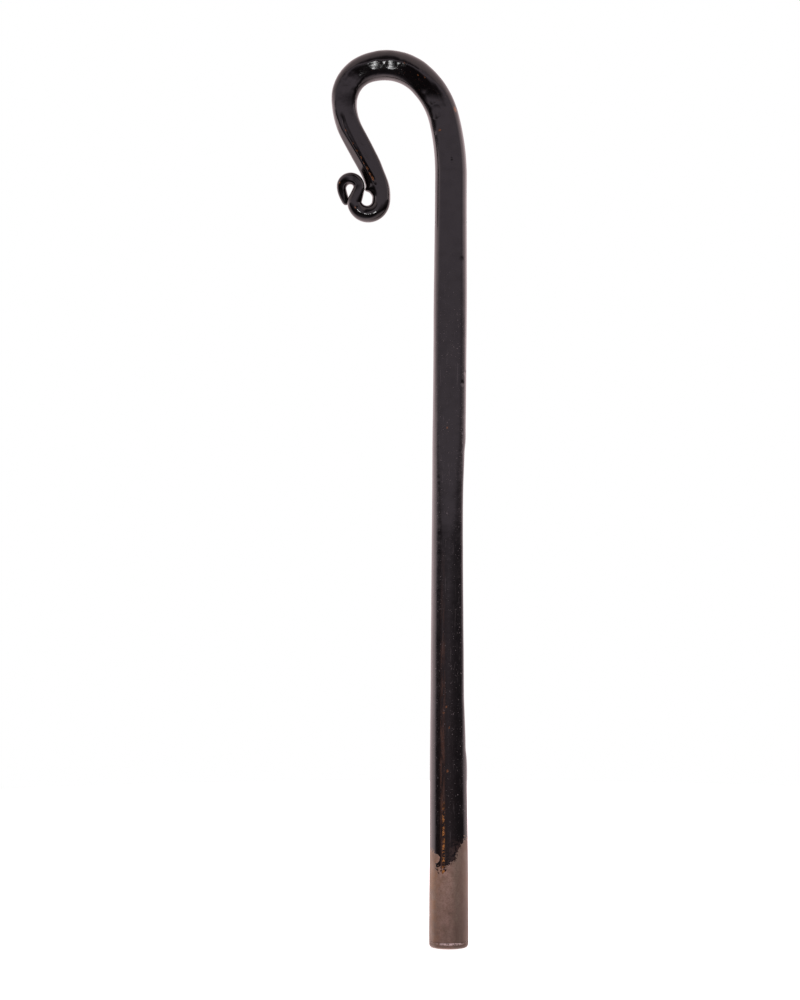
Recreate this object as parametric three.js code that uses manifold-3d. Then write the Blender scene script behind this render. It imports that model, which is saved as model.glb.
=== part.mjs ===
// Single point cane in forged steel: a hammered tube, a solid crook forged down to a small scroll, a bare foot.
// Millimetres. +Z is up, the origin is the centre of the foot's bottom face, the crook opens towards -X and
// the cane's front faces -Y.
import * as THREE from 'three';
import { mergeVertices } from 'three/addons/utils/BufferGeometryUtils.js';
import Module from 'manifold-3d';

const wasm = await Module();
wasm.setup();

// Driving dimensions
const TUBE_WALL = 3;
const SLEEVE_WALL = 1.2;
const GAP = 0.3; // between joined pieces
const NECK_X = 2.2; // centre line of the shaft where the handle starts
const NECK_Z = 747.3;
const NECK_BEAD_HALF = 3.5; // half the height of the weld at the surface
const ROOT_HALF = 1; // half the height of the weld at its root
const TENON_LENGTH = 62;
const TENON_LEAD = 2; // chamfer at the tenon's end
const SLEEVE_TOP = 110;
const HEAD_HEIGHT = 4.2; // foot plug head, up to its weld
const FOOT_BEAD_HEIGHT = 2;
const RIM_ROUND = 3;
const SHANK_TOP = 52;
const SHANK_LEAD = 1.5; // chamfer at the shank's end
const STEP_RISE = 0.4; // slope of the tube's step above the sleeve
const PIN_RADIUS = 3;
const PIN_SINK = 0.6; // pin ends below the surface
const NECK_PIN_HEIGHTS = [732, 702];
const FOOT_PIN_HEIGHT = 32;
const BORE_SLACK = 0.3; // radial, around a pin
const PIN_SIDES = 20;

// Facets
const SIDES = 24;
const CORNER_SHARPNESS = 16; // how crisp the edges between hammered flats are
const SLEEVE_HEIGHTS = [25, 45, 75]; // rings of the sleeve, and of the tube inside it
const TUBE_HEIGHTS = [
  150, 185, 193, 200, 220, 240, 287, 336, 385, 408, 433, 450, 460, 470, 480, 490, 505, 522, 560, 620, 680, 715,
];
const RING_TURN = 10; // degrees between crook rings in a bend
const RING_SPACING = 7;
const TIP_ROUND = [25, 50, 70, 85]; // degrees round the tip of its rings
const TIP_BLUNTNESS = 0.75; // length of the rounding against the tip's radius

// Crook centre line, from the neck to the tip: bends of [radius, degrees], left turns positive
const arc = (radius, degrees) => ({ length: radius * Math.abs(degrees) * Math.PI / 180, degrees });
const straight = (length) => ({ length, degrees: 0 });
const CROOK_BENDS = [
  arc(230, 14), arc(79, 33), arc(48, 28), arc(51.7, 37), arc(33, 66), arc(65, 30), straight(51),
  arc(36, -36), arc(13, -153), arc(6, -38), straight(11), arc(8.5, 209), arc(32, 23),
];

// Every list below holds [distance, value] stations. Distance is height on the shaft, and run along the crook.
// The value is millimetres, degrees for a turn or a facing, or the share of the radius that a flat takes off
const SHAFT_RADIUS = along([
  [0, 18.8], [7, 19], [45, 18.9], [140, 18.05], [237, 17.1],
  [385, 16.5], [480, 16], [628, 15.9], [724, 15.3], [747, 15.2],
]);
const SHAFT_DRIFT = along([ // of the centre line, along +X
  [0, 0], [110, 0], [192, -0.5], [290, -0.4], [430, 0.2], [480, 0.2], [530, 0.8], [675, 1.8], [NECK_Z, NECK_X],
]);
const SHAFT_FLAT = along([[408, 0], [450, 0.1], [522, 0.29], [NECK_Z, 0.29]]);
const SHAFT_SIDE_FLAT = along([
  [185, 0], [200, 0.02], [240, 0.11], [287, 0.13], [336, 0.18],
  [433, 0.195], [450, 0.16], [470, 0.08], [490, 0],
]);
const CROOK_RADIUS = along([
  [0, 15.2], [60, 14.7], [90, 14.7], [137, 14.5], [165, 13.6], [191, 12.8], [204, 11.9],
  [247, 11.7], [268, 11.2], [280, 9.8], [298, 8.8], [322, 8.1], [339, 7], [346, 6.5],
  [356, 5.5], [369, 5.7], [378, 5.1], [384, 4.4], [390, 4.2], [398, 3.7],
]);
const CROOK_FLAT = along([
  [0, 0.29], [75, 0.29], [100, 0.18], [125, 0.13], [150, 0.14], [178, 0.25],
  [285, 0.24], [305, 0.07], [318, 0.01], [338, 0.01], [350, 0.12], [360, 0.2], [385, 0.05],
]);
const FLAT_TURN = along([ // how the front flat leans inwards
  [60, 0], [75, -5], [92, -16], [140, -15], [162, -15], [171, -6], [179, 0],
  [205, -2], [230, -12], [290, -12], [330, 0],
]);
const ARM_BEVEL = along([[0, 0], [205, 0], [215, 0], [235, 0.15], [285, 0.17], [294, 0]]);
const ARM_BEVEL_FACING = 60;
const CROOK_DEPTH = along([ // the scroll's pitch, along +Y
  [325, 0], [345, -2], [362, -2], [385, 3], [398, 8],
]);
const SHOULDER = along([ // where the arm steps down to the thin end
  [262, 0], [270, 0.6], [280, 3], [288, 6], [291, 6], [294, 0], [300, 0],
]);
const SHOULDER_FACING = 108; // degrees from the front
const BACK_FLAT_SHARE = 0.8; // back flat against the front one
const SIDE_FLAT_FACING = 95;

function along(stations) {
  const distances = Float32Array.from(stations, (station) => station[0]);
  const values = Float32Array.from(stations, (station) => station[1]);
  const curve = new THREE.CubicInterpolant(distances, values, 1);
  return (distance) => curve.evaluate(distance)[0];
}

// Radius of a hammered section in one direction. A flat is [degrees it faces, share of the radius it takes off]
function sectionRadius(degrees, radius, flats) {
  let sum = radius ** -CORNER_SHARPNESS;
  for (const [facing, share] of flats) {
    const reach = Math.cos(THREE.MathUtils.degToRad(degrees - facing));
    if (share > 0 && reach > 0) sum += (reach / (radius * (1 - share))) ** CORNER_SHARPNESS;
  }
  return sum ** (-1 / CORNER_SHARPNESS);
}

const sideAngles = Array.from({ length: SIDES }, (_, side) => 360 * side / SIDES);

// One ring of the shaft's section at height z, set in from the outside by inset
function shaftRing(z, inset = 0) {
  const flat = SHAFT_FLAT(z);
  const flats = [[0, flat], [180, flat * BACK_FLAT_SHARE], [SIDE_FLAT_FACING, SHAFT_SIDE_FLAT(z)]];
  return sideAngles.map((degrees) => {
    const r = sectionRadius(degrees, SHAFT_RADIUS(z), flats) - inset;
    const angle = THREE.MathUtils.degToRad(degrees);
    return new THREE.Vector3(SHAFT_DRIFT(z) + r * Math.sin(angle), -r * Math.cos(angle), z);
  });
}

// Stations of the crook's centre line: place, heading in degrees from +Z towards -X, and run from the neck
function crookPath() {
  const path = [{ x: NECK_X, z: NECK_Z, heading: 0, run: 0 }];
  for (const { length, degrees } of CROOK_BENDS) {
    const steps = Math.ceil(Math.max(length / RING_SPACING, Math.abs(degrees) / RING_TURN));
    for (let i = 0; i < steps; i++) {
      const last = path.at(-1);
      const middle = THREE.MathUtils.degToRad(last.heading + degrees / steps / 2);
      path.push({
        x: last.x - Math.sin(middle) * length / steps,
        z: last.z + Math.cos(middle) * length / steps,
        heading: last.heading + degrees / steps,
        run: last.run + length / steps,
      });
    }
  }
  return path;
}

// One ring of the crook. Share shrinks it, for the rounded tip
function crookRing({ x, z, heading, run }, share = 1) {
  const flat = CROOK_FLAT(run);
  const flats = [[FLAT_TURN(run), flat], [180, flat * BACK_FLAT_SHARE], [ARM_BEVEL_FACING, ARM_BEVEL(run)]];
  const turn = THREE.MathUtils.degToRad(heading);
  const shoulder = Math.max(0, SHOULDER(run));
  return sideAngles.map((degrees) => {
    const lean = Math.max(0, Math.cos(THREE.MathUtils.degToRad(degrees - SHOULDER_FACING)));
    const r = share * (sectionRadius(degrees, CROOK_RADIUS(run), flats) + shoulder * lean ** 2);
    const angle = THREE.MathUtils.degToRad(degrees);
    const across = r * Math.sin(angle);
    return new THREE.Vector3(
      x + across * Math.cos(turn),
      CROOK_DEPTH(run) - r * Math.cos(angle),
      z + across * Math.sin(turn),
    );
  });
}

// One ring of the rounded tip, past the end of the path
function tipRing({ x, z, heading, run }, angle) {
  const turn = THREE.MathUtils.degToRad(heading);
  const ahead = TIP_BLUNTNESS * CROOK_RADIUS(run) * Math.sin(angle);
  const place = { x: x - Math.sin(turn) * ahead, z: z + Math.cos(turn) * ahead, heading, run };
  return crookRing(place, Math.cos(angle));
}

// Closed solid through rings of equal size: a looped one is a tube, any other is capped at both ends
function loft(rings, looped = false) {
  const positions = rings.flat().flatMap((point) => point.toArray());
  const faces = [];
  const at = (ring, side) => (ring % rings.length) * SIDES + side % SIDES;
  for (let ring = 0; ring < rings.length - (looped ? 0 : 1); ring++) {
    for (let side = 0; side < SIDES; side++) {
      faces.push(at(ring, side), at(ring, side + 1), at(ring + 1, side + 1));
      faces.push(at(ring, side), at(ring + 1, side + 1), at(ring + 1, side));
    }
  }
  if (!looped) {
    for (const end of [0, rings.length - 1]) {
      const centre = positions.length / 3;
      const middle = rings[end].reduce((sum, point) => sum.add(point), new THREE.Vector3()).divideScalar(SIDES);
      positions.push(...middle.toArray());
      for (let side = 0; side < SIDES; side++) {
        const edge = [at(end, side), at(end, side + 1)];
        faces.push(centre, ...(end === 0 ? edge.reverse() : edge));
      }
    }
  }
  const geometry = new THREE.BufferGeometry();
  geometry.setAttribute('position', new THREE.Float32BufferAttribute(positions, 3));
  geometry.setIndex(faces);
  return geometry;
}

function toManifold(geometry) {
  const bare = geometry.clone();
  bare.deleteAttribute('normal');
  bare.deleteAttribute('uv');
  const merged = mergeVertices(bare);
  const vertProperties = new Float32Array(merged.attributes.position.array);
  const triVerts = new Uint32Array(merged.index.array);
  return new wasm.Manifold(new wasm.Mesh({ numProp: 3, vertProperties, triVerts }));
}

function fromManifold(manifold) {
  const { vertProperties, triVerts } = manifold.getMesh();
  const geometry = new THREE.BufferGeometry();
  geometry.setAttribute('position', new THREE.Float32BufferAttribute(vertProperties, 3));
  geometry.setIndex(Array.from(triVerts));
  return geometry;
}

// A rod lying along X through the shaft at height z
function crossRod(z, radius, length) {
  const rod = new THREE.CylinderGeometry(radius, radius, length, PIN_SIDES);
  rod.rotateZ(Math.PI / 2);
  rod.translate(SHAFT_DRIFT(z), 0, z);
  return rod;
}

function drilled(geometry, heights) {
  let solid = toManifold(geometry);
  for (const z of heights) {
    solid = solid.subtract(toManifold(crossRod(z, PIN_RADIUS + BORE_SLACK, 4 * SHAFT_RADIUS(z))));
  }
  return fromManifold(solid);
}

// A pin that stops just under the surface on both sides
function crossPin(z) {
  const flats = [[SIDE_FLAT_FACING, SHAFT_SIDE_FLAT(z)]];
  return crossRod(z, PIN_RADIUS, 2 * (sectionRadius(90, SHAFT_RADIUS(z), flats) - PIN_SINK));
}

// Handle: the tenon inside the tube, the shoulder of the weld groove, then the crook out to its rounded tip
function handle() {
  const tenonInset = TUBE_WALL + GAP;
  const bottom = NECK_Z - TENON_LENGTH;
  const rings = [
    shaftRing(bottom, tenonInset + TENON_LEAD),
    shaftRing(bottom + TENON_LEAD, tenonInset),
    shaftRing(NECK_Z - TENON_LENGTH / 2, tenonInset),
    shaftRing(NECK_Z + ROOT_HALF + GAP, tenonInset),
  ];
  const shoulder = NECK_BEAD_HALF + GAP;
  rings.push(shaftRing(NECK_Z + shoulder));
  const path = crookPath().filter(({ run }) => run > shoulder);
  for (const station of path) rings.push(crookRing(station));
  for (const degrees of TIP_ROUND) rings.push(tipRing(path.at(-1), THREE.MathUtils.degToRad(degrees)));
  return drilled(loft(rings), NECK_PIN_HEIGHTS);
}

// Tube: outside from the foot up, then back down the bore, stepped in where the sleeve sits
function tube() {
  const bottom = HEAD_HEIGHT + FOOT_BEAD_HEIGHT / 2 + GAP;
  const stepInset = SLEEVE_WALL + GAP;
  const outside = [bottom, ...SLEEVE_HEIGHTS, SLEEVE_TOP + GAP].map((z) => shaftRing(z, stepInset));
  const top = NECK_Z - NECK_BEAD_HALF - GAP;
  for (const z of [SLEEVE_TOP + GAP + STEP_RISE, ...TUBE_HEIGHTS, top]) outside.push(shaftRing(z));
  const boreHeights = [bottom, ...SLEEVE_HEIGHTS, SLEEVE_TOP, ...TUBE_HEIGHTS, NECK_Z - ROOT_HALF - GAP];
  const bore = boreHeights.reverse().map((z) => shaftRing(z, TUBE_WALL));
  return drilled(loft([...outside, ...bore], true), [FOOT_PIN_HEIGHT, ...NECK_PIN_HEIGHTS]);
}

function neckWeld() {
  const root = TUBE_WALL;
  return loft([
    shaftRing(NECK_Z - NECK_BEAD_HALF),
    shaftRing(NECK_Z + NECK_BEAD_HALF),
    shaftRing(NECK_Z + ROOT_HALF, root),
    shaftRing(NECK_Z - ROOT_HALF, root),
  ], true);
}

function footSleeve() {
  const bottom = HEAD_HEIGHT + FOOT_BEAD_HEIGHT + GAP;
  return drilled(loft([
    shaftRing(bottom),
    ...SLEEVE_HEIGHTS.map((z) => shaftRing(z)),
    shaftRing(SLEEVE_TOP),
    shaftRing(SLEEVE_TOP, SLEEVE_WALL),
    ...SLEEVE_HEIGHTS.toReversed().map((z) => shaftRing(z, SLEEVE_WALL)),
    shaftRing(bottom - FOOT_BEAD_HEIGHT / 4, SLEEVE_WALL),
  ], true), [FOOT_PIN_HEIGHT]);
}

// Plug: rounded rim, head, and a shank up the bore
function footPlug() {
  const headTop = HEAD_HEIGHT + FOOT_BEAD_HEIGHT / 2;
  const shankInset = TUBE_WALL + GAP;
  const rim = [0, 1, 2, 3, 4].map((step) => {
    const angle = step / 4 * Math.PI / 2;
    return shaftRing(RIM_ROUND * (1 - Math.cos(angle)), RIM_ROUND * (1 - Math.sin(angle)));
  });
  return drilled(loft([
    ...rim,
    shaftRing(HEAD_HEIGHT - GAP),
    shaftRing(headTop - GAP, SLEEVE_WALL + GAP),
    shaftRing(headTop, shankInset),
    shaftRing(SLEEVE_HEIGHTS[0], shankInset),
    shaftRing(SHANK_TOP - SHANK_LEAD, shankInset),
    shaftRing(SHANK_TOP, shankInset + SHANK_LEAD),
  ]), [FOOT_PIN_HEIGHT]);
}

function footWeld() {
  const middle = HEAD_HEIGHT + FOOT_BEAD_HEIGHT / 2;
  const root = SLEEVE_WALL;
  return loft([
    shaftRing(HEAD_HEIGHT),
    shaftRing(HEAD_HEIGHT + FOOT_BEAD_HEIGHT),
    shaftRing(middle + FOOT_BEAD_HEIGHT / 8, root),
    shaftRing(middle, root),
  ], true);
}

const paint = { color: 0x0b0a0b, roughness: 0.16, metalness: 0 };
const bareSteel = { color: 0x6b5750, roughness: 0.45, metalness: 0.85 };
const filler = { color: 0x8a8480, roughness: 0.4, metalness: 0.9 };

const cane = new THREE.Group();
function add(name, geometry, look) {
  const mesh = new THREE.Mesh(geometry, new THREE.MeshStandardMaterial(look));
  mesh.name = name;
  cane.add(mesh);
}

add('crook_handle', handle(), paint);
add('neck_weld', neckWeld(), paint);
add('neck_pin_upper', crossPin(NECK_PIN_HEIGHTS[0]), filler);
add('neck_pin_lower', crossPin(NECK_PIN_HEIGHTS[1]), filler);
add('shaft_tube', tube(), paint);
add('foot_sleeve', footSleeve(), bareSteel);
add('foot_pin', crossPin(FOOT_PIN_HEIGHT), filler);
add('foot_plug', footPlug(), bareSteel);
add('foot_weld', footWeld(), filler);

export default cane;
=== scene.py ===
import math
from collections import defaultdict

import bpy
import numpy as np
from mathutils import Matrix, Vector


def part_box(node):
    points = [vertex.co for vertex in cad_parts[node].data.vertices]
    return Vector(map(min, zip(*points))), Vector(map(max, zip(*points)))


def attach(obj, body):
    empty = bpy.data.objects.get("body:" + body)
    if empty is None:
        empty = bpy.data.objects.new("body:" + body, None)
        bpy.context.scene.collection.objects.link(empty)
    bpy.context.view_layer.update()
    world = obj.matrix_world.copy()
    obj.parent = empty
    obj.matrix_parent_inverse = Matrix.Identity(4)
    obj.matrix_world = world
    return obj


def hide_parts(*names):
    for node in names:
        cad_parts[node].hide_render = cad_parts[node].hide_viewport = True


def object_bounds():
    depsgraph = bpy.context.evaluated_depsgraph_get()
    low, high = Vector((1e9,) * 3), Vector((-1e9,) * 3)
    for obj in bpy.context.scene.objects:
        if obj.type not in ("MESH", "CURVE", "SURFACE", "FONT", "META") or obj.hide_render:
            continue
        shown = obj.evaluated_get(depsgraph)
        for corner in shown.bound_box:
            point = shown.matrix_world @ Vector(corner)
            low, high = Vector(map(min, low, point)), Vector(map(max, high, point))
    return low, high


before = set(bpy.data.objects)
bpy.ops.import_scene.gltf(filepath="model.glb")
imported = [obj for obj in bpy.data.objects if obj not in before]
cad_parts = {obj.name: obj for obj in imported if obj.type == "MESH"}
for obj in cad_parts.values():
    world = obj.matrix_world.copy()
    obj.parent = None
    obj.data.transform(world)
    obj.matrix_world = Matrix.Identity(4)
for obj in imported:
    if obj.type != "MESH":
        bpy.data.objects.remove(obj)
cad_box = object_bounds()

MM = 0.001
CAD_SIDES = 24
SIDES = 144
LEVEL = 0.02  # heights closer than this are one ring

# Spacing of the fine rings
SHAFT_STEP = 0.9
CROOK_STEP = 0.7
SLEEVE_STEP = 0.5
PLUG_STEP = 0.3
WELD_STEP = 0.25
NUDGE = 0.2  # half the stretch of skin over which a normal is taken
SHARP_ANGLE = 38  # degrees between faces that are shaded as an edge

# Rings of the plain stretches that carry no relief
TENON_RINGS = 12
SEAT_RINGS = 12
BORE_RINGS = 60
SLEEVE_BORE_RINGS = 14
SHANK_RINGS = 8
PIN_RINGS = 8
FACE_SHARES = np.linspace(0.08, 0.96, 16)  # radii of the rings in the foot's face, as shares of its rim

# Hidden faces, as in the CAD
TUBE_WALL = 3.0
SLEEVE_WALL = 1.2
GAP = 0.3
TENON_LEAD = 2.0
TENON_NOSE = 10  # length of the tenon's first ring
SHANK_LEAD = 1.5
SHANK_NOSE = 4
ROOT_HALF = 1.0
PIN_FIT = 0.07  # hairline around a dressed pin
PIN_SIDES = 48
PIN_SINK = 0.08
# Rounded end of a pin: distance from its tip, share of its radius
PIN_END = [(0, 0.2), (0.02, 0.5), (0.05, 0.85), (0.12, 1)]
BORER_LENGTH = 60
TIP_DOME = [20, 40, 60, 75, 85]  # degrees of the rings of the crook's rounded tip
TIP_BLUNTNESS = 0.7
FACE_BUMPS = 0.06  # height of the waves in the foot's face

LOW = {name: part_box(name)[0].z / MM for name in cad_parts}
HIGH = {name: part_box(name)[1].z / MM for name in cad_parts}


# ---------------------------------------------------------------- the CAD skin

def joined(node):
    """Points of a CAD node, each once, and the neighbours of each."""
    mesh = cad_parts[node].data
    raw = np.zeros(len(mesh.vertices) * 3, np.float32)
    mesh.vertices.foreach_get("co", raw)
    raw = raw.reshape(-1, 3).astype(float) / MM
    _, first, index = np.unique(np.round(raw, 3), axis=0, return_index=True, return_inverse=True)
    corners = np.zeros(len(mesh.loops), np.int32)
    mesh.loops.foreach_get("vertex_index", corners)
    neighbours = defaultdict(set)
    for a, b, c in index.ravel()[corners].reshape(-1, 3).tolist():
        neighbours[a] |= {b, c}
        neighbours[b] |= {a, c}
        neighbours[c] |= {a, b}
    return raw[first], neighbours


def shaft_rings(node, low, high):
    """Outer rings of a CAD node from one height to another, lowest first.
    Each starts in front and goes round by the right side."""
    points, _ = joined(node)
    step = 360 / CAD_SIDES
    rings = []
    for z in sorted(set(np.round(points[:, 2], 2))):
        level = points[abs(points[:, 2] - z) < LEVEL]
        if not low - LEVEL < z < high + LEVEL or len(level) < CAD_SIDES:
            continue
        front_left = level[level[:, 1] < -LEVEL]
        beside_left = front_left[front_left[:, 0].argmin()]
        centre = beside_left[0] - beside_left[1] / math.tan(math.radians(step))
        across = level[:, 0] - centre
        reach = np.hypot(across, level[:, 1])
        side = np.round(np.degrees(np.arctan2(across, -level[:, 1])) / step).astype(int) % CAD_SIDES
        if len(set(side)) == CAD_SIDES:
            rings.append([level[side == s][reach[side == s].argmax()] for s in range(CAD_SIDES)])
    return rings


def crook_rings(last):
    """Rings of the crook from its shoulder to its tip, each matched side by side to the one before."""
    points, neighbours = joined("crook_handle")
    hubs = [i for i in neighbours if len(neighbours[i]) >= CAD_SIDES]
    layer = {min(hubs, key=lambda i: points[i][0])}
    seen = set(layer)
    layers = []
    neck_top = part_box("neck_weld")[1].z / MM
    neck_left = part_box("neck_weld")[0].x / MM
    while True:
        layer = set().union(*(neighbours[i] for i in layer)) - seen
        seen |= layer
        middle = points[sorted(layer)].mean(0)
        if middle[0] > neck_left and middle[2] < neck_top:
            break
        ring = [min(layer)]
        while len(ring) < CAD_SIDES:
            ring.append(min(i for i in neighbours[ring[-1]] if i in layer and i not in ring))
        layers.append(points[ring])
    rings = []
    for ring in reversed(layers):
        turned = [np.roll(way, shift, 0) for way in (ring, ring[::-1]) for shift in range(CAD_SIDES)]
        last = min(turned, key=lambda choice: ((choice - last) ** 2).sum())
        rings.append(last)
    return rings


def cad_skin():
    """The rings of the whole outside from the foot's bottom edge to the tip, and the run of each."""
    rings = shaft_rings("foot_plug", 0, LOW["foot_weld"] - GAP)
    rings += shaft_rings("foot_weld", LOW["foot_weld"], LOW["foot_weld"])
    rings += shaft_rings("foot_weld", HIGH["foot_weld"], HIGH["foot_weld"])
    rings += shaft_rings("foot_sleeve", HIGH["foot_weld"] + GAP, HIGH["foot_sleeve"])
    rings += shaft_rings("shaft_tube", HIGH["foot_sleeve"] + 2 * GAP, LOW["neck_weld"] - GAP)
    rings += shaft_rings("neck_weld", LOW["neck_weld"], LOW["neck_weld"])
    rings += shaft_rings("neck_weld", HIGH["neck_weld"], HIGH["neck_weld"])
    rings += crook_rings(np.array(rings[-1]))
    rings = np.array(rings)
    lengths = np.linalg.norm(np.diff(rings, axis=0), axis=2).mean(1)
    runs = np.concatenate([[0], np.cumsum(lengths)])
    upright = rings[:, :, 2].mean(1)
    weld = np.argmin(abs(upright - LOW["foot_weld"]))
    return rings, runs - runs[weld] + upright[weld]


RINGS, RUNS = cad_skin()


def rail_tangents():
    """Slope of each line along the cane, with the run, at each ring."""
    slopes = np.diff(RINGS, axis=0) / np.diff(RUNS)[:, None, None]
    gaps = np.diff(RUNS)[:, None, None]
    middle = (slopes[:-1] * gaps[1:] + slopes[1:] * gaps[:-1]) / (gaps[1:] + gaps[:-1])
    return np.concatenate([slopes[:1], middle, slopes[-1:]])


TANGENTS = rail_tangents()


def plain_skin(runs):
    """Fine rings of the skin at these runs, before any relief."""
    runs = np.atleast_1d(np.asarray(runs, float))
    k = np.clip(np.searchsorted(RUNS, runs, "right") - 1, 0, len(RUNS) - 2)
    gap = (RUNS[k + 1] - RUNS[k])[:, None, None]
    u = (runs - RUNS[k])[:, None, None] / gap
    rails = (2 * u ** 3 - 3 * u ** 2 + 1) * RINGS[k] + (u ** 3 - 2 * u ** 2 + u) * gap * TANGENTS[k]
    rails += (3 * u ** 2 - 2 * u ** 3) * RINGS[k + 1] + (u ** 3 - u ** 2) * gap * TANGENTS[k + 1]
    steps = SIDES // CAD_SIDES
    before, after, beyond = (np.roll(rails, shift, 1) for shift in (1, -1, -2))
    fine = np.empty((len(runs), SIDES, 3))
    for i in range(steps):
        s = i / steps
        fine[:, i::steps] = rails + 0.5 * (
            (after - before) * s
            + (2 * before - 5 * rails + 4 * after - beyond) * s ** 2
            + (3 * rails - before - 3 * after + beyond) * s ** 3
        )
    return fine


TURNS = np.arange(SIDES) * 360 / SIDES


def runs_between(low, high, step):
    """Even runs from low to high, no further apart than the step."""
    return np.linspace(low, high, 1 + math.ceil((high - low) / step))


# ---------------------------------------------------------------- relief

class Waves:
    """A smooth random field in space, within -1 to 1: random heights on a lattice, blended between points."""

    def __init__(self, seed, spacing, stretch=1.0):
        self.spacing = np.array([spacing, spacing, spacing * stretch])
        self.size = 32
        self.heights = np.random.default_rng(seed).uniform(-1, 1, (self.size,) * 3)

    def __call__(self, points):
        scaled = points / self.spacing
        cell = np.floor(scaled).astype(int)
        part = scaled - cell
        part = part ** 3 * (part * (part * 6 - 15) + 10)
        total = np.zeros(points.shape[:-1])
        for dx in (0, 1):
            for dy in (0, 1):
                for dz in (0, 1):
                    corner = (cell + (dx, dy, dz)) % self.size
                    share = np.ones(points.shape[:-1])
                    for axis, d in enumerate((dx, dy, dz)):
                        share *= part[..., axis] if d else 1 - part[..., axis]
                    total += share * self.heights[corner[..., 0], corner[..., 1], corner[..., 2]]
        return total


broad_waves = Waves(11, 26, 1.6)
short_waves = Waves(12, 8, 1.5)
fine_waves = Waves(13, 3.2)
edge_waves = Waves(14, 5)


def ramp(value, low, high):
    """0 below low, 1 above high, smooth between. Works downwards when low is above high."""
    share = np.clip((value - low) / (high - low), 0, 1)
    return share * share * (3 - 2 * share)


def band(value, low, high, soft):
    """1 from low to high, 0 further outside than soft."""
    return ramp(value, low - soft, low) * ramp(value, high + soft, high)


def signed(turn):
    """The same turn, from -180 up to 180 degrees."""
    return (turn + 180) % 360 - 180


def around_distance(turn, centre, radius):
    """Distance around the cane from a turn, in mm, negative to its left."""
    return signed(turn - centre) * math.pi / 180 * radius


def spot(run, turn, radius, mark):
    """How far inside an oval mark a point is: 1 at its centre, 0 at its edge and outside."""
    at_run, at_turn, half_run, half_around, tilt = mark
    along = run - at_run
    around = around_distance(turn, at_turn, radius)
    c, s = math.cos(math.radians(tilt)), math.sin(math.radians(tilt))
    across = np.hypot((along * c + around * s) / half_run, (around * c - along * s) / half_around)
    return np.clip(1 - across, 0, 1)


# Waves of the hammered surface: height of each kind, the runs that have them, and the fade beyond those
BROAD_HEIGHT = 0.10
SHORT_HEIGHT = 0.03
ARCH_RUNS = (805, 925)
ARCH_SHORT_HEIGHT = 0.08
ARCH_FINE_HEIGHT = 0.04
ARCH_SHRINK = 1.3
ARCH_FADE = 15
ARM_RUNS = (925, 1035)
ARM_FINE_HEIGHT = 0.035
ARM_FADE = 15
SHAFT_RUNS = (190, 500)
SHAFT_FINE_HEIGHT = 0.02
SHAFT_FADE = 40

# The strand in front of the scroll stands out: height, runs of its rise and of its fall, turns of its sides
STRAND_HEIGHT = 1.1
STRAND_RISE = (1088, 1106)
STRAND_FALL = (1135, 1112)
STRAND_SIDES = (80, 25)

# The ridge along the outer side of the arm is worn over this half width
ARM_EDGE_TURN = 25
ARM_EDGE_RUNS = (968, 1024)
ARM_EDGE_FADE = 12
ARM_EDGE_WIDTH = 2.8
ARM_EDGE_CUT = 1.7

# Hollows left by the hammer: run, turn, half length, half width, tilt, depth
HAMMER_MARKS = [
    (896, 0, 7, 5, 0, 0.35), (881, -2, 6, 5, 0, 0.35), (866, -12, 8, 6, 10, 0.25),
    (852, -22, 8, 6, 0, 0.25), (841, -20, 8, 7, 15, 0.35), (827, -24, 8, 7, 15, 0.35),
    (811, -36, 8, 6, 20, 0.3), (796, -50, 8, 5, 10, 0.3), (763, 5, 1.5, 1.2, 0, 0.25),
    (1003, -30, 8, 4, 0, 0.2), (988, -40, 8, 4, 0, 0.2), (664, 46, 5, 3, 0, 0.15),
    (556, 70, 3, 2.5, 0, 0.3), (546, 51, 3, 2, 0, 0.25),
]

PAINT_LIP = 0.12
LIP_REACH = (-0.4, 0.6)  # the lip rises from nothing to its height between these distances from the edge
# Lower edge of the paint: turn, run
PAINT_EDGE = [
    (-180, 92), (-140, 84), (-100, 95), (-62, 96), (-50, 93), (-44, 82), (-38, 76), (-24, 77), (-16, 75),
    (-8, 80), (2, 82), (12, 83), (20, 88), (30, 94), (42, 102), (50, 105), (75, 107), (100, 102),
    (130, 90), (180, 92),
]
# A chip out of that edge: run, turn, half length, half width in degrees, depth
PAINT_CHIP = (88, -40, 5.5, 16, 18)
# How far waves of three sizes move the edge
EDGE_RAGGED = 2.6
EDGE_TORN = 2.4
EDGE_FRAYED = 1.2
FRAY_SHRINK = 2.3


def paint_reach(run, turn, base):
    """Distance above the lower edge of the paint, in mm, negative on bare steel."""
    turn = signed(turn)
    chip_run, chip_turn, half_run, half_turn, chip_depth = PAINT_CHIP
    chipped = ramp(np.hypot((run - chip_run) / half_run, (turn - chip_turn) / half_turn), 1, 0.5)
    reach = run - np.interp(turn, *zip(*PAINT_EDGE)) - chip_depth * chipped
    reach = reach + EDGE_RAGGED * edge_waves(base) + EDGE_TORN * fine_waves(base)
    return reach + EDGE_FRAYED * fine_waves(base * FRAY_SHRINK)


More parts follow.
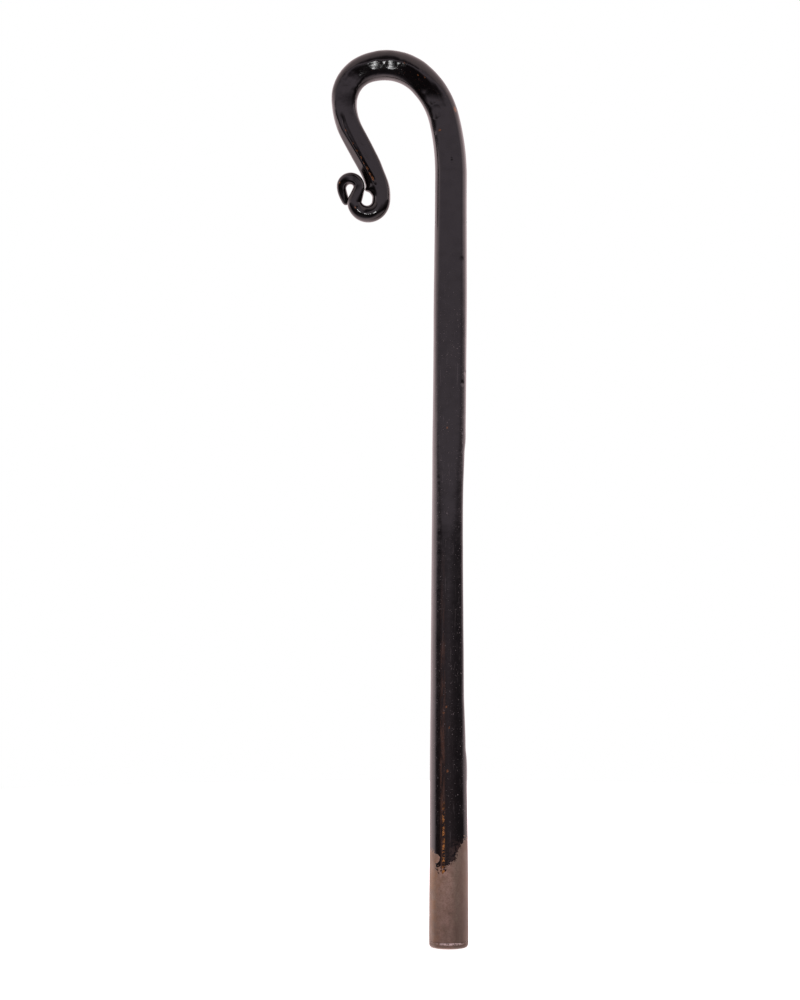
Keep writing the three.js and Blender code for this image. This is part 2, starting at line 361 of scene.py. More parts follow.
def relief(run, turn, base):
    """Height of the real surface over the plain skin, in mm."""
    radius = np.linalg.norm(base - base.mean(1, keepdims=True), axis=2)
    height = BROAD_HEIGHT * broad_waves(base) + SHORT_HEIGHT * short_waves(base)
    arch_waves = ARCH_SHORT_HEIGHT * short_waves(base * ARCH_SHRINK) + ARCH_FINE_HEIGHT * fine_waves(base)
    height += band(run, *ARCH_RUNS, ARCH_FADE) * arch_waves
    height += band(run, *ARM_RUNS, ARM_FADE) * ARM_FINE_HEIGHT * fine_waves(base)
    height += band(run, *SHAFT_RUNS, SHAFT_FADE) * SHAFT_FINE_HEIGHT * fine_waves(base)
    in_front = ramp(abs(signed(turn)), *STRAND_SIDES)
    height += STRAND_HEIGHT * ramp(run, *STRAND_RISE) * ramp(run, *STRAND_FALL) * in_front
    ridge = np.clip(1 - abs(around_distance(turn, ARM_EDGE_TURN, radius)) / ARM_EDGE_WIDTH, 0, 1)
    height -= ARM_EDGE_CUT * band(run, *ARM_EDGE_RUNS, ARM_EDGE_FADE) * ridge
    for *mark, depth in HAMMER_MARKS:
        inside = spot(run, turn, radius, mark)
        height -= depth * inside * (2 - inside)
    height += PAINT_LIP * ramp(paint_reach(run, turn, base), *LIP_REACH)
    return height


def skin(runs):
    """Fine rings at these runs with their relief."""
    runs = np.atleast_1d(np.asarray(runs, float))
    base = plain_skin(runs)
    ahead = plain_skin(runs + NUDGE)
    behind = plain_skin(runs - NUDGE)
    along = ahead - behind
    around = np.roll(base, -1, 1) - np.roll(base, 1, 1)
    normal = np.cross(around, along)
    normal /= np.linalg.norm(normal, axis=2, keepdims=True)
    return base + normal * relief(runs[:, None], TURNS[None, :], base)[..., None]


def inset_ring(run, inset):
    """One ring set in from the skin towards the shaft's centre line."""
    ring = plain_skin(run)[0]
    centre = np.array([ring[0, 0], 0, 0])
    out = ring - centre
    out[:, 2] = 0
    reach = np.linalg.norm(out, axis=1, keepdims=True)
    return (ring - out / reach * inset)[None]


# ---------------------------------------------------------------- solids

# Rust specks: run, turn, half length, half width
RUST_MARKS = [
    (808, 57, 3, 2), (792, -34, 1.2, 1.2), (869, 13, 0.9, 0.7), (852, -2, 0.9, 0.6), (846, 10, 1, 0.6),
    (1084, -7, 1, 0.8), (1129, 31, 0.8, 0.7), (503, -10, 1, 1), (234, -7, 1.2, 1), (228, -15, 1, 1),
    (214, 2, 1, 0.8), (172, -4, 1.6, 1.2), (1027, 24, 3, 1.4), (1022, 27, 2.4, 1.2), (1016, 23, 2.4, 1.2),
    (1010, 26, 1.8, 1.0), (1004, 23, 1.6, 0.9), (996, 26, 1.4, 0.8), (988, 24, 1.2, 0.7), (974, 27, 1.2, 0.8),
]


def rust_at(run, turn, radius):
    """1 in the middle of a rust speck, 0 away from them."""
    mask = np.zeros(np.broadcast(run, turn).shape)
    for mark in RUST_MARKS:
        mask = np.maximum(mask, ramp(spot(run, turn, radius, (*mark, 0)), 0, 0.5))
    return mask


def add_values(mesh, name, values):
    """One number for each point of the mesh, for the materials."""
    attribute = mesh.attributes.new(name, "FLOAT", "POINT")
    attribute.data.foreach_set("value", np.asarray(values, np.float32))


def solid(name, rows, runs, closed_loop=False):
    """A closed mesh through rows of rings. One that is not a closed loop gets a pole at each end.
    runs holds the run of each ring, for the material's masks."""
    rings = np.concatenate(rows)
    runs = np.concatenate([np.atleast_1d(r) for r in runs])
    count = len(rings)
    points = rings.reshape(-1, 3)
    spans = count if closed_loop else count - 1
    ring, side = np.meshgrid(np.arange(spans), np.arange(SIDES), indexing="ij")
    after = (ring + 1) % count
    beside = (side + 1) % SIDES
    quads = [ring * SIDES + side, ring * SIDES + beside, after * SIDES + beside, after * SIDES + side]
    faces = np.stack(quads, -1).reshape(-1, 4).tolist()
    if not closed_loop:
        first, last = len(points), len(points) + 1
        points = np.concatenate([points, [rings[0].mean(0)], [rings[-1].mean(0)]])
        top = (count - 1) * SIDES
        for s in range(SIDES):
            faces.append((first, (s + 1) % SIDES, s))
            faces.append((last, top + s, top + (s + 1) % SIDES))
    mesh = bpy.data.meshes.new(name)
    mesh.from_pydata((points * MM).tolist(), [], faces)
    mesh.update()
    run = np.repeat(runs, SIDES)
    turn = np.tile(TURNS, count)
    flat = rings.reshape(-1, 3)
    radius = np.linalg.norm(rings - rings.mean(1, keepdims=True), axis=2).ravel()
    masks = {
        "run": run,
        "turn": np.where(turn > 180, turn - 360, turn),
        "paint": paint_reach(run, turn, flat),
        "rust": rust_at(run, turn, radius),
    }
    for key, values in masks.items():
        if not closed_loop:
            values = np.concatenate([values, values[:1], values[-1:]])
        add_values(mesh, key, values)
    mesh.shade_smooth()
    mesh.set_sharp_from_angle(angle=math.radians(SHARP_ANGLE))
    piece = bpy.data.objects.new(name, mesh)
    bpy.context.scene.collection.objects.link(piece)
    return piece


def height_of(node):
    """Height of the middle of a CAD node."""
    low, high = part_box(node)
    return (low.z + high.z) / 2 / MM


WELD_LOW, WELD_HIGH = LOW["foot_weld"], HIGH["foot_weld"]
SLEEVE_TOP = HIGH["foot_sleeve"]
SLEEVE_END = SLEEVE_TOP + GAP / 2
NECK_LOW = LOW["neck_weld"] - GAP / 2
NECK_HIGH = HIGH["neck_weld"] + GAP / 2
NECK_ROOT_LOW = height_of("neck_weld") - ROOT_HALF
NECK_ROOT_HIGH = height_of("neck_weld") + ROOT_HALF


def crook_handle():
    """The forging, from the tenon in the tube to the rounded tip of the scroll."""
    bottom = LOW["crook_handle"]
    inset = TUBE_WALL + GAP
    tenon = [(bottom, inset + TENON_LEAD), (bottom + TENON_LEAD, inset)]
    tenon += [(run, inset) for run in np.linspace(bottom + TENON_NOSE, NECK_ROOT_HIGH, TENON_RINGS)]
    tenon.append((NECK_ROOT_HIGH + GAP, inset))
    runs = runs_between(NECK_HIGH, RUNS[-1], CROOK_STEP)
    rows = [inset_ring(*ring) for ring in tenon] + [skin(runs)]
    end = rows[-1][-1]
    middle = end.mean(0)
    forward = np.cross(end[0] - middle, end[SIDES // 4] - middle)
    forward /= -np.linalg.norm(forward)
    out = end - middle
    reach = np.linalg.norm(out, axis=1).mean() * TIP_BLUNTNESS
    dome = np.radians(TIP_DOME)
    rows.append(np.stack([middle + out * math.cos(a) + forward * reach * math.sin(a) for a in dome]))
    all_runs = [[run for run, _ in tenon], runs, np.full(len(dome), runs[-1])]
    return solid("crook_handle_forging", rows, all_runs)


def neck_weld():
    """The dressed bead, with its root in the groove between handle and tube."""
    runs = runs_between(NECK_LOW, NECK_HIGH, CROOK_STEP)
    rows = [skin(runs), inset_ring(NECK_ROOT_HIGH, TUBE_WALL), inset_ring(NECK_ROOT_LOW, TUBE_WALL)]
    return solid("neck_weld_bead", rows, [runs, NECK_ROOT_HIGH, NECK_ROOT_LOW], closed_loop=True)


def shaft_tube():
    """The hammered tube, turned down at its lower end for the sleeve."""
    bottom = LOW["shaft_tube"]
    step = SLEEVE_WALL + GAP
    under = np.linspace(bottom, SLEEVE_TOP + GAP / 3, SEAT_RINGS)
    runs = runs_between(SLEEVE_END, NECK_LOW, SHAFT_STEP)
    bore = np.linspace(HIGH["shaft_tube"], bottom, BORE_RINGS)
    rows = [inset_ring(run, step) for run in under] + [skin(runs)]
    rows += [inset_ring(run, TUBE_WALL) for run in bore]
    return solid("shaft_tube_hammered", rows, [under, runs, bore], closed_loop=True)


def foot_sleeve():
    """The bare sleeve, painted over at its top."""
    runs = runs_between(WELD_HIGH + GAP, SLEEVE_END, SLEEVE_STEP)
    bore = np.linspace(SLEEVE_TOP, LOW["foot_sleeve"], SLEEVE_BORE_RINGS)
    rows = [skin(runs)] + [inset_ring(run, SLEEVE_WALL) for run in bore]
    return solid("foot_sleeve_bare", rows, [runs, bore], closed_loop=True)


def foot_weld():
    """The bead between plug and sleeve, with its root in their groove."""
    runs = runs_between(WELD_LOW, WELD_HIGH, WELD_STEP)
    middle = height_of("foot_weld")
    rows = [skin(runs), inset_ring(middle + GAP, SLEEVE_WALL), inset_ring(middle, SLEEVE_WALL)]
    return solid("foot_weld_bead", rows, [runs, middle + GAP, middle], closed_loop=True)


def foot_plug():
    """The plug, from the face it stands on to the end of its shank in the tube."""
    runs = runs_between(RUNS[0], WELD_LOW - GAP, PLUG_STEP)
    side = skin(runs)
    centre = side[0].mean(0)
    face = np.stack([centre + (side[0] - centre) * share for share in FACE_SHARES])
    face[..., 2] += FACE_BUMPS * (1 + fine_waves(face))
    inset = TUBE_WALL + GAP
    head = height_of("foot_weld")
    top = HIGH["foot_plug"]
    shank = [(head - GAP, SLEEVE_WALL + GAP), (head, inset)]
    shank += [(run, inset) for run in np.linspace(head + SHANK_NOSE, top - SHANK_LEAD, SHANK_RINGS)]
    shank.append((top, inset + SHANK_LEAD))
    rows = [face, side] + [inset_ring(*ring) for ring in shank]
    return solid("foot_plug_turned", rows, [np.full(len(face), runs[0]), runs, [run for run, _ in shank]])


def cross_pin(name, node):
    """A pin dressed to the skin on both sides, with faintly domed ends."""
    z = height_of(node)
    radius = (HIGH[node] - LOW[node]) / 2
    ring = skin(z)[0]
    right = ring[SIDES // 4, 0] - PIN_SINK
    left = ring[3 * SIDES // 4, 0] + PIN_SINK
    profile = [(left + x, share) for x, share in PIN_END]
    profile += [(x, 1) for x in np.linspace(left + 1, right - 1, PIN_RINGS)]
    profile += [(right - x, share) for x, share in reversed(PIN_END)]
    angles = np.radians(TURNS)
    rows = []
    for x, share in profile:
        reach = radius * share
        rows.append(np.stack([np.full(SIDES, x), np.sin(angles) * reach, z + np.cos(angles) * reach], -1))
    rings = np.stack(rows)[:, ::-1]
    return solid(name, [rings], [np.full(len(profile), z)])


def bored(piece, nodes):
    """Cuts the cross holes for these pins."""
    for node in nodes:
        radius = (HIGH[node] - LOW[node]) / 2 + PIN_FIT
        bpy.ops.mesh.primitive_cylinder_add(
            vertices=PIN_SIDES, radius=radius * MM, depth=BORER_LENGTH * MM,
            location=(0, 0, height_of(node) * MM), rotation=(0, math.pi / 2, 0),
        )
        cutter = bpy.context.object
        cut = piece.modifiers.new("bore", "BOOLEAN")
        cut.operation = "DIFFERENCE"
        cut.solver = "EXACT"
        cut.object = cutter
        bpy.context.view_layer.objects.active = piece
        bpy.ops.object.modifier_apply(modifier=cut.name)
        bpy.data.objects.remove(cutter)
    return piece


# ---------------------------------------------------------------- materials

class Nodes:
    """Adds shader nodes to one tree. An input is a number, a colour or another node's output."""

    def __init__(self, tree):
        self.tree = tree
        tree.nodes.clear()

    def add(self, kind, inputs=(), **settings):
        node = self.tree.nodes.new(kind)
        for key, value in settings.items():
            setattr(node, key, value)
        for key, value in dict(inputs).items():
            if isinstance(value, bpy.types.NodeSocket):
                self.tree.links.new(value, node.inputs[key])
            else:
                node.inputs[key].default_value = value
        return node

    def math(self, operation, *values):
        return self.add("ShaderNodeMath", dict(enumerate(values)), operation=operation).outputs[0]

    def product(self, first, *others):
        for other in others:
            first = self.math("MULTIPLY", first, other)
        return first

    def most(self, first, *others):
        for other in others:
            first = self.math("MAXIMUM", first, other)
        return first

    def blend(self, share, low, high):
        """A colour from low to high."""
        inputs = {0: share, 6: low, 7: high}
        return self.add("ShaderNodeMix", inputs, data_type="RGBA").outputs[2]

    def blend_number(self, share, low, high):
        return self.add("ShaderNodeMix", {0: share, 2: low, 3: high}, data_type="FLOAT").outputs[0]

    def remap(self, value, low, high, to_low=0.0, to_high=1.0):
        inputs = {0: value, 1: low, 2: high, 3: to_low, 4: to_high}
        return self.add("ShaderNodeMapRange", inputs).outputs[0]

    def noise(self, scale, detail=3.0, roughness=0.55, stretch=1.0):
        """Noise about 0 to 1 in object space. Scale is in features per metre, stretch is along the shaft."""
        place = self.add("ShaderNodeTexCoord").outputs["Object"]
        mapped = self.add("ShaderNodeMapping", {"Vector": place, "Scale": (1, 1, 1 / stretch)}).outputs[0]
        inputs = {"Vector": mapped, "Scale": scale, "Detail": detail, "Roughness": roughness}
        return self.add("ShaderNodeTexNoise", inputs).outputs[0]

    def value(self, name):
        """A number that the mesh has for each point."""
        return self.add("ShaderNodeAttribute", attribute_name=name).outputs["Fac"]


STRIPE_CORE = 0.3  # share of a stripe's half width that has its full strength
PAINT_BUMP = 0.00006  # metres
STEEL_BUMP = 0.00008  # metres


def stripe(nodes, centre, half_width):
    """1 along a line down the cane at this turn, 0 beyond its half width, in degrees."""
    away = nodes.math("ABSOLUTE", nodes.math("SUBTRACT", nodes.value("turn"), centre))
    return nodes.remap(away, half_width, STRIPE_CORE * half_width)


# Colours of the paint and of what shows through it
BLACK = (0.0035, 0.003, 0.003, 1)
BLACK_LIGHTER = (0.006, 0.005, 0.005, 1)
BROWN_TONE = (0.030, 0.014, 0.009, 1)
THIN_PAINT = (0.060, 0.040, 0.033, 1)
BROWN_STREAK = (0.09, 0.038, 0.018, 1)
SCALE = (0.05, 0.022, 0.016, 1)
RUST = (0.34, 0.135, 0.035, 1)
ORANGE = (0.62, 0.27, 0.055, 1)
DUST = (0.16, 0.15, 0.15, 1)


def paint_look(nodes):
    """Gloss black paint with orange peel, nibs of dust and scratches, browner along the lower shaft, with a
    brown streak and orange dashes down its front.
    """
    run = nodes.value("run")
    on_shaft = nodes.remap(run, 690, 560)
    low = nodes.remap(run, 390, 230)
    lowest = nodes.remap(run, 150, 118)
    by_edge = nodes.remap(run, 108, 98)
    clear_of_edge = nodes.remap(run, 102, 130)
    on_arch = nodes.product(nodes.remap(run, 800, 820), nodes.remap(run, 930, 900))

    tone = nodes.product(stripe(nodes, -12, 40), low, 0.2)
    grain = nodes.noise(420, 4, 0.6, stretch=9)
    streak = nodes.product(stripe(nodes, -19, 11), nodes.remap(grain, 0.40, 0.62), low)
    dashes = nodes.remap(nodes.noise(380, 4, 0.7), 0.49, 0.56)
    orange = nodes.product(stripe(nodes, -17, 5), dashes, lowest)
    torn = nodes.remap(nodes.noise(420, 4, 0.6), 0.42, 0.56, 0, 0.75)
    thin = nodes.product(stripe(nodes, 20, 36), torn, by_edge)
    rust = nodes.product(nodes.value("rust"), nodes.remap(nodes.noise(1100, 3, 0.7), 0.35, 0.55))
    nibs = nodes.product(nodes.remap(nodes.noise(800, 1, 0.4), 0.71, 0.75), on_shaft, clear_of_edge)
    scratches = nodes.product(nodes.remap(nodes.noise(900, 2, 0.5, stretch=30), 0.66, 0.72), on_shaft)
    scale = nodes.product(nodes.remap(nodes.noise(500, 4, 0.65), 0.62, 0.68), on_arch)

    colour = nodes.blend(nodes.noise(70, 3), BLACK, BLACK_LIGHTER)
    colour = nodes.blend(tone, colour, BROWN_TONE)
    colour = nodes.blend(thin, colour, THIN_PAINT)
    colour = nodes.blend(streak, colour, BROWN_STREAK)
    colour = nodes.blend(scale, colour, SCALE)
    colour = nodes.blend(rust, colour, RUST)
    colour = nodes.blend(orange, colour, ORANGE)
    colour = nodes.blend(nodes.most(nibs, nodes.product(scratches, 0.35)), colour, DUST)

    gloss = nodes.remap(nodes.noise(120, 3), 0.3, 0.7, 0.10, 0.2)
    gloss = nodes.product(gloss, nodes.remap(run, 1035, 1055, 1, 0.6))
    worn = nodes.product(nodes.most(streak, rust, orange, nibs), 0.25)
    rough = nodes.math("ADD", gloss, worn)

    on_arm = nodes.product(nodes.remap(run, 880, 930, 0.7, 1.6), nodes.remap(run, 1055, 1035, 0.08, 1))
    peel = nodes.product(nodes.noise(330, 2, 0.5), on_arm)
    lumps = nodes.math("ADD", nodes.product(nibs, 0.8), nodes.product(scratches, -0.3))
    height = nodes.math("ADD", peel, nodes.math("ADD", lumps, nodes.product(scale, 0.5)))
    bump = nodes.add("ShaderNodeBump", {"Strength": 0.5, "Distance": PAINT_BUMP, "Height": height}).outputs[0]
    inputs = {"Base Color": colour, "Roughness": rough, "IOR": 1.5, "Normal": bump}
    return nodes.add("ShaderNodeBsdfPrincipled", inputs).outputs[0]


# Colours of the steel under its film of rust, a painted sheen in front, painted shade on the right, a darker
# tone low down, and a painted highlight on the weld
FILM_LIGHT = (0.31, 0.255, 0.185, 1)
FILM_DARK = (0.20, 0.145, 0.095, 1)
FILM_ORANGE = (0.25, 0.145, 0.065, 1)
# painted sheen: lighter colour down the front, where the front light falls
STEEL_PAINTED_SHEEN = (0.52, 0.365, 0.28, 1)
# painted shade: darker colour down the right side
STEEL_PAINTED_SHADE = (0.13, 0.09, 0.068, 1)
FILM_SPECKS = (0.12, 0.075, 0.055, 1)
# darker tone towards the bottom of the foot
STEEL_DARKER_LOW = (0.085, 0.062, 0.050, 1)
PIN_LIGHT = (0.40, 0.30, 0.24, 1)
PIN_DARK = (0.28, 0.19, 0.14, 1)
# painted highlight: near white for the front of the weld bead
WELD_PAINTED_HIGHLIGHT = (0.92, 0.79, 0.73, 1)


def steel_look(nodes, light=FILM_LIGHT, dark=FILM_DARK):
    """Bare steel under a thin brown film of rust, more orange at the sides, with a painted sheen lighter in
    front, painted shade on the right side and darker towards the bottom.
    """
    patches = nodes.noise(110, 5, 0.6, stretch=2.5)
    grain = nodes.noise(700, 3, 0.6)
    scratches = nodes.noise(500, 3, 0.6, stretch=20)
    left = nodes.product(stripe(nodes, -48, 46), nodes.remap(nodes.noise(90, 3), 0.42, 0.58, 0.2, 1.0))
    right = nodes.product(stripe(nodes, 78, 40), nodes.remap(nodes.noise(100, 3), 0.42, 0.58, 0.1, 0.9))
    # painted sheen: the front of the steel is coloured lighter, as if lit
    painted_front_highlight = nodes.product(stripe(nodes, -12, 34), nodes.remap(nodes.noise(150, 4), 0.35, 0.65, 0.3, 1.0))
    # painted shade: the right side of the steel is coloured darker
    painted_right_shade = nodes.product(stripe(nodes, 56, 50), 0.6)

    colour = nodes.blend(nodes.remap(patches, 0.38, 0.62), light, dark)
    colour = nodes.blend(nodes.most(left, right), colour, FILM_ORANGE)
    colour = nodes.blend(painted_front_highlight, colour, STEEL_PAINTED_SHEEN)
    colour = nodes.blend(painted_right_shade, colour, STEEL_PAINTED_SHADE)
    colour = nodes.blend(nodes.remap(grain, 0.40, 0.72, 0.0, 0.45), colour, FILM_SPECKS)
    # darker towards the bottom
    colour = nodes.blend(nodes.remap(nodes.value("run"), 66, 20, 0, 0.34), colour, STEEL_DARKER_LOW)
    rough = nodes.remap(patches, 0.3, 0.7, 0.36, 0.52)
    height = nodes.math("ADD", grain, nodes.product(scratches, 0.5))
    bump = nodes.add("ShaderNodeBump", {"Strength": 0.5, "Distance": STEEL_BUMP, "Height": height}).outputs[0]
    inputs = {"Base Color": colour, "Roughness": rough, "Metallic": 0.2, "Normal": bump}
    return nodes.add("ShaderNodeBsdfPrincipled", inputs).outputs[0]


def pin_look(nodes):
    """Dressed pin ends, cleaner than the film around them."""
    return steel_look(nodes, PIN_LIGHT, PIN_DARK)


def weld_look(nodes):
    """Weld bead with a painted highlight, near white in front, filmed over elsewhere."""
    # painted highlight: the bead is coloured near white in front, broken by noise
    painted_front_highlight = nodes.product(nodes.remap(nodes.noise(260, 3, 0.6), 0.40, 0.50), stripe(nodes, 4, 48))
    bright = {"Base Color": WELD_PAINTED_HIGHLIGHT, "Roughness": 0.28, "Metallic": 0.15}
    painted_highlight_shader = nodes.add("ShaderNodeBsdfPrincipled", bright).outputs[0]
    return nodes.add("ShaderNodeMixShader", {0: painted_front_highlight, 1: steel_look(nodes), 2: painted_highlight_shader}).outputs[0]


FLAKES = 6  # how far the paint's edge strays in its flakes
EDGE_HALF = 0.15  # half width of the change from steel to paint


def material(name, *looks):
    """A material made of one look, or of paint over bare steel split at the edge of the paint."""
    made = bpy.data.materials.new(name)
    made.use_nodes = True
    nodes = Nodes(made.node_tree)
    shaders = [look(nodes) for look in looks]
    result = shaders[0]
    if len(shaders) > 1:
        flakes = nodes.remap(nodes.noise(480, 5, 0.65), 0.3, 0.7, -FLAKES, FLAKES)
        share = nodes.remap(nodes.math("ADD", nodes.value("paint"), flakes), -EDGE_HALF, EDGE_HALF)
        result = nodes.add("ShaderNodeMixShader", {0: share, 1: shaders[1], 2: shaders[0]}).outputs[0]
    nodes.add("ShaderNodeOutputMaterial", {"Surface": result})
    return made


# ---------------------------------------------------------------- assembly

black_paint = material("black_paint", paint_look)
bare_steel = material("bare_steel", steel_look)
paint_on_steel = material("paint_on_steel", paint_look, steel_look)
weld_steel = material("weld_steel", weld_look)
pin_steel = material("pin_steel", pin_look)

NECK_PINS = ["neck_pin_upper", "neck_pin_lower"]
FOOT_PIN = ["foot_pin"]
# Piece, the CAD node it stands for, material, the record's slot
PIECES = [
    (bored(crook_handle(), NECK_PINS), "crook_handle", black_paint, "black_paint"),
    (neck_weld(), "neck_weld", black_paint, "black_paint"),
    (bored(shaft_tube(), NECK_PINS + FOOT_PIN), "shaft_tube", black_paint, "black_paint"),
    (cross_pin("neck_pin_upper_dressed", "neck_pin_upper"), "neck_pin_upper", black_paint, "pin_steel"),
    (cross_pin("neck_pin_lower_dressed", "neck_pin_lower"), "neck_pin_lower", black_paint, "pin_steel"),
    (cross_pin("foot_pin_dressed", "foot_pin"), "foot_pin", pin_steel, "pin_steel"),
    (bored(foot_sleeve(), FOOT_PIN), "foot_sleeve", paint_on_steel, "bare_steel"),
    (bored(foot_plug(), FOOT_PIN), "foot_plug", bare_steel, "bare_steel"),
    (foot_weld(), "foot_weld", weld_steel, "weld_steel"),
]
for piece, node, look, slot in PIECES:
    piece.data.materials.clear()
    piece.data.materials.append(look)
    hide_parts(node)
    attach(piece, "root")


# ---------------------------------------------------------------- stage

# In metres, and the lens and sensor in millimetres
CAMERA_DISTANCE = 2.7
CAMERA_LENS = 100.26
CAMERA_SENSOR = 36
AIM_BELOW_MIDDLE = 0.0014
FLOOR_RADIUS = 1.6
FLOOR_SIDES = 96
FLOOR_DROP = 0.0002


def camera():
    """Level and square in front of the cane, aimed just below its middle."""
    low, high = cad_box
    middle = [(a + b) / 2 for a, b in zip(low, high)]
    data = bpy.data.cameras.new("camera")
    data.lens = CAMERA_LENS
    data.sensor_width = CAMERA_SENSOR
    data.clip_start, data.clip_end = 0.05, 50
    made = bpy.data.objects.new("camera", data)
    made.location = (middle[0], -CAMERA_DISTANCE, middle[2] - AIM_BELOW_MIDDLE)
    made.rotation_euler = (math.pi / 2, 0, 0)
    bpy.context.scene.collection.objects.link(made)
    bpy.context.scene.camera = made


# Light of the studio as the paint mirrors it. The cane is lit as if it lay on a white table, front up.
# Clock of a direction, from the right over the top: degrees, table's strength, depth at which the table
# starts, half width of that change. Depth is 1 straight behind and -1 straight in front.
TABLE = [
    (-180, 2.4, 0.05, 0.2), (-174, 2.3, 0.05, 0.15), (-160, 1.4, -0.1, 0.25), (-142, 2.0, 0.0, 0.25),
    (-118, 2.2, -0.2, 0.25), (-92, 2.3, -0.42, 0.2), (-70, 1.6, -0.6, 0.2), (-50, 1.1, -0.78, 0.15),
    (-35, 1.2, -0.5, 0.2), (-20, 1.3, 0.1, 0.2), (-10, 1.25, 0.25, 0.15), (-4, 1.2, 0.28, 0.15),
    (-1, 1.3, 0.45, 0.2), (1, 1.4, 0.35, 0.2), (3, 2.3, -0.25, 0.35), (5, 2.5, -0.35, 0.3),
    (18, 2.3, -0.35, 0.3), (28, 1.6, -0.5, 0.2), (42, 1.1, -0.6, 0.15), (57, 1.2, -0.82, 0.1),
    (70, 1.2, -0.8, 0.12), (90, 0.9, -0.42, 0.2), (120, 1.05, -0.75, 0.15), (148, 1.4, -0.8, 0.15),
    (164, 1.2, -0.6, 0.3), (172, 1.9, -0.4, 0.4), (176, 2.4, -0.38, 0.4), (180, 2.4, 0.05, 0.2),
]
TABLE_STRONGEST = 3.0
# Front light by elevation: degrees, strength
FRONT = [
    (-90, 0.2), (-45, 0.2), (-30, 0.05), (-15, 0.03), (-10, 0.12), (-6, 0.3), (-4, 0.41), (-2, 0.5),
    (0, 0.62), (2.5, 0.94), (11.5, 0.94), (16, 0.07), (50, 0.08), (90, 0.25),
]
# Share of the front light left beside it: degrees of bearing, level with the eye or below it, then above it
BESIDE = [
    (-180, 1, 1), (-96, 1, 1), (-88, 0.2, 0.85), (-56, 0.25, 0.85), (-44, 0.75, 1), (-20, 0.8, 1),
    (-6, 0.95, 1), (3, 1, 1), (13, 0.78, 1), (27, 0.6, 0.95), (41, 0.45, 0.9), (56, 0.32, 0.9),
    (110, 0.25, 0.85), (180, 0.2, 0.85),
]
TABLE_TINT = (1.0, 0.80, 0.82, 1)
FRONT_TINT = (1.0, 0.84, 0.96, 1)


def sampled(nodes, factor, stops):
    """Colour curve through stops of (position 0 to 1, red, green, blue)."""
    curve = nodes.add("ShaderNodeValToRGB", {0: factor})
    elements = curve.color_ramp.elements
    elements[0].position, elements[0].color = stops[0][0], (*stops[0][1:], 1)
    elements[1].position, elements[1].color = stops[-1][0], (*stops[-1][1:], 1)
    for position, *colour in stops[1:-1]:
        elements.new(position).color = (*colour, 1)
    return nodes.add("ShaderNodeSeparateColor", {0: curve.outputs[0]}).outputs


def table_light(nodes, x, depth, z):
    """Strength of the table in a direction, and how far that direction is inside it, 0 to 1."""
    clock = nodes.remap(nodes.math("ARCTAN2", z, x), -math.pi, math.pi)
    stops = [
        ((degrees + 180) / 360, level / TABLE_STRONGEST, (start + 1) / 2, width)
        for degrees, level, start, width in TABLE
    ]
    level, start, width = sampled(nodes, clock, stops)
    start = nodes.math("MULTIPLY_ADD", start, 2.0, -1.0)
    inside = nodes.math("DIVIDE", nodes.math("SUBTRACT", depth, start), nodes.product(width, 2.0))
    inside = nodes.remap(nodes.math("ADD", inside, 0.5), 0.0, 1.0)
    strength = nodes.product(level, TABLE_STRONGEST)
    return nodes.blend_number(nodes.remap(depth, 0.7, 1.0), strength, 1.0), inside


def front_light(nodes, x, depth, z):
    """Strength of the light in front. Above the level on the right it reaches twice as high."""
    upper_right = nodes.product(nodes.remap(x, 0.12, 0.26), nodes.remap(z, 0.0, 0.1))
    lowered = nodes.product(z, nodes.remap(upper_right, 0.0, 1.0, 1.0, 0.5))
    rise = nodes.math("DIVIDE", nodes.math("ARCSINE", lowered), math.pi)
    stops = [((degrees + 90) / 180, v, v, v) for degrees, v in FRONT]
    front = sampled(nodes, nodes.math("ADD", rise, 0.5), stops)[0]
    bearing = nodes.math("ARCTAN2", x, nodes.product(depth, -1.0))
    bearing = nodes.math("ADD", nodes.math("DIVIDE", bearing, 2 * math.pi), 0.5)
    stops = [((degrees + 180) / 360, below, above, 0) for degrees, below, above in BESIDE]
    below, above, _ = sampled(nodes, bearing, stops)
    return nodes.product(front, nodes.blend_number(nodes.remap(z, 0.03, 0.07), below, above))


def studio():
    """White backdrop for the camera, and the table and the front light for reflections."""
    world = bpy.data.worlds.new("studio")
    world.use_nodes = True
    bpy.context.scene.world = world
    nodes = Nodes(world.node_tree)
    ray = nodes.add("ShaderNodeTexCoord").outputs["Generated"]
    direction = nodes.add("ShaderNodeSeparateXYZ", {0: ray}).outputs
    table, inside = table_light(nodes, *direction)
    light = nodes.blend_number(inside, front_light(nodes, *direction), table)
    tint = nodes.blend(inside, FRONT_TINT, TABLE_TINT)
    seen = nodes.add("ShaderNodeLightPath").outputs["Is Camera Ray"]
    reflected = nodes.add("ShaderNodeBackground", {"Color": tint, "Strength": light}).outputs[0]
    backdrop = nodes.add("ShaderNodeBackground", {"Color": (1, 1, 1, 1), "Strength": 1.0}).outputs[0]
    mixed = nodes.add("ShaderNodeMixShader", {0: seen, 1: reflected, 2: backdrop}).outputs[0]
    nodes.add("ShaderNodeOutputWorld", {"Surface": mixed})
    bpy.context.scene.view_settings.view_transform = "Standard"


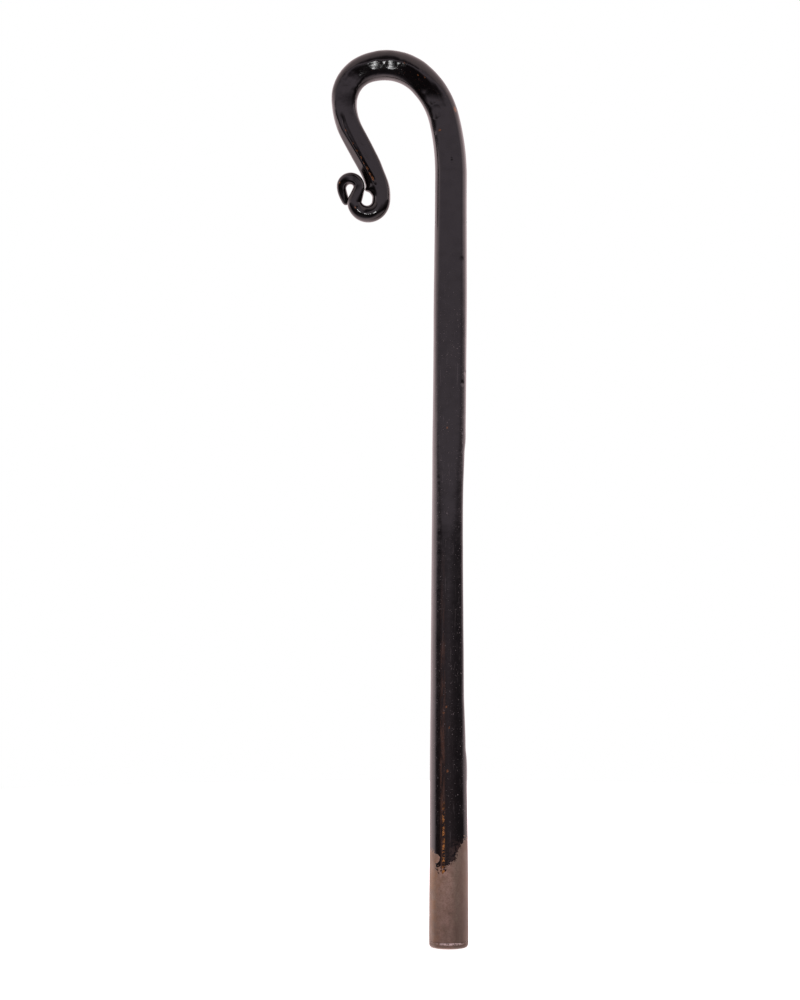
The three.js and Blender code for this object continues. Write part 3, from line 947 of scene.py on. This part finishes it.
# Small lamps near the crook, each aimed at the middle of the cane at its run. Bearing is from the front
# towards the right and elevation from level up, in degrees. Distance and radius are in metres, power in
# watts. The cone is the full angle, in degrees.
LAMPS = {
    "arch_lamp": dict(run=889, bearing=-1, elevation=-13, distance=0.15, radius=0.009, power=0.07),
    "bend_lamp_left": dict(run=1069, bearing=-5.5, elevation=-5, distance=0.3, radius=0.013, power=0.16),
    "bend_lamp_right": dict(run=1069, bearing=5.5, elevation=-5, distance=0.3, radius=0.013, power=0.16),
}
LAMP_CONE = 14
LAMP_SOFTNESS = 0.3


def lamp(name, run, bearing, elevation, distance, radius, power):
    """A small round lamp near one place of the crook, lighting little else."""
    data = bpy.data.lights.new(name, "SPOT")
    data.energy = power
    data.shadow_soft_size = radius
    data.spot_size = math.radians(LAMP_CONE)
    data.spot_blend = LAMP_SOFTNESS
    side = math.radians(bearing)
    rise = math.radians(elevation)
    way = np.array([math.sin(side) * math.cos(rise), -math.cos(side) * math.cos(rise), math.sin(rise)])
    made = bpy.data.objects.new(name, data)
    made.location = plain_skin(run)[0].mean(0) * MM + distance * way
    made.rotation_euler = (math.pi / 2 - rise, 0, side)
    bpy.context.scene.collection.objects.link(made)


def floor():
    """A pale round floor, bright enough to fade into the backdrop away from the foot."""
    angles = [2 * math.pi * i / FLOOR_SIDES for i in range(FLOOR_SIDES)]
    rim = [(FLOOR_RADIUS * math.cos(a), FLOOR_RADIUS * math.sin(a), 0) for a in angles]
    points = [(0, 0, 0)] + rim
    faces = [(0, 1 + i, 1 + (i + 1) % FLOOR_SIDES) for i in range(FLOOR_SIDES)]
    mesh = bpy.data.meshes.new("floor")
    mesh.from_pydata(points, [], faces)
    made = bpy.data.objects.new("floor", mesh)
    made.location.z = -FLOOR_DROP
    bpy.context.scene.collection.objects.link(made)
    pale = bpy.data.materials.new("pale_floor")
    pale.use_nodes = True
    nodes = Nodes(pale.node_tree)
    matt = nodes.add("ShaderNodeBsdfDiffuse", {"Color": (0.9, 0.9, 0.9, 1)}).outputs[0]
    glow = nodes.add("ShaderNodeEmission", {"Color": (1, 1, 1, 1), "Strength": 0.75}).outputs[0]
    both = nodes.add("ShaderNodeAddShader", {0: matt, 1: glow}).outputs[0]
    nodes.add("ShaderNodeOutputMaterial", {"Surface": both})
    mesh.materials.append(pale)
    made.visible_glossy = False
    made.visible_diffuse = False


camera()
studio()
for name, settings in LAMPS.items():
    lamp(name, **settings)
floor()
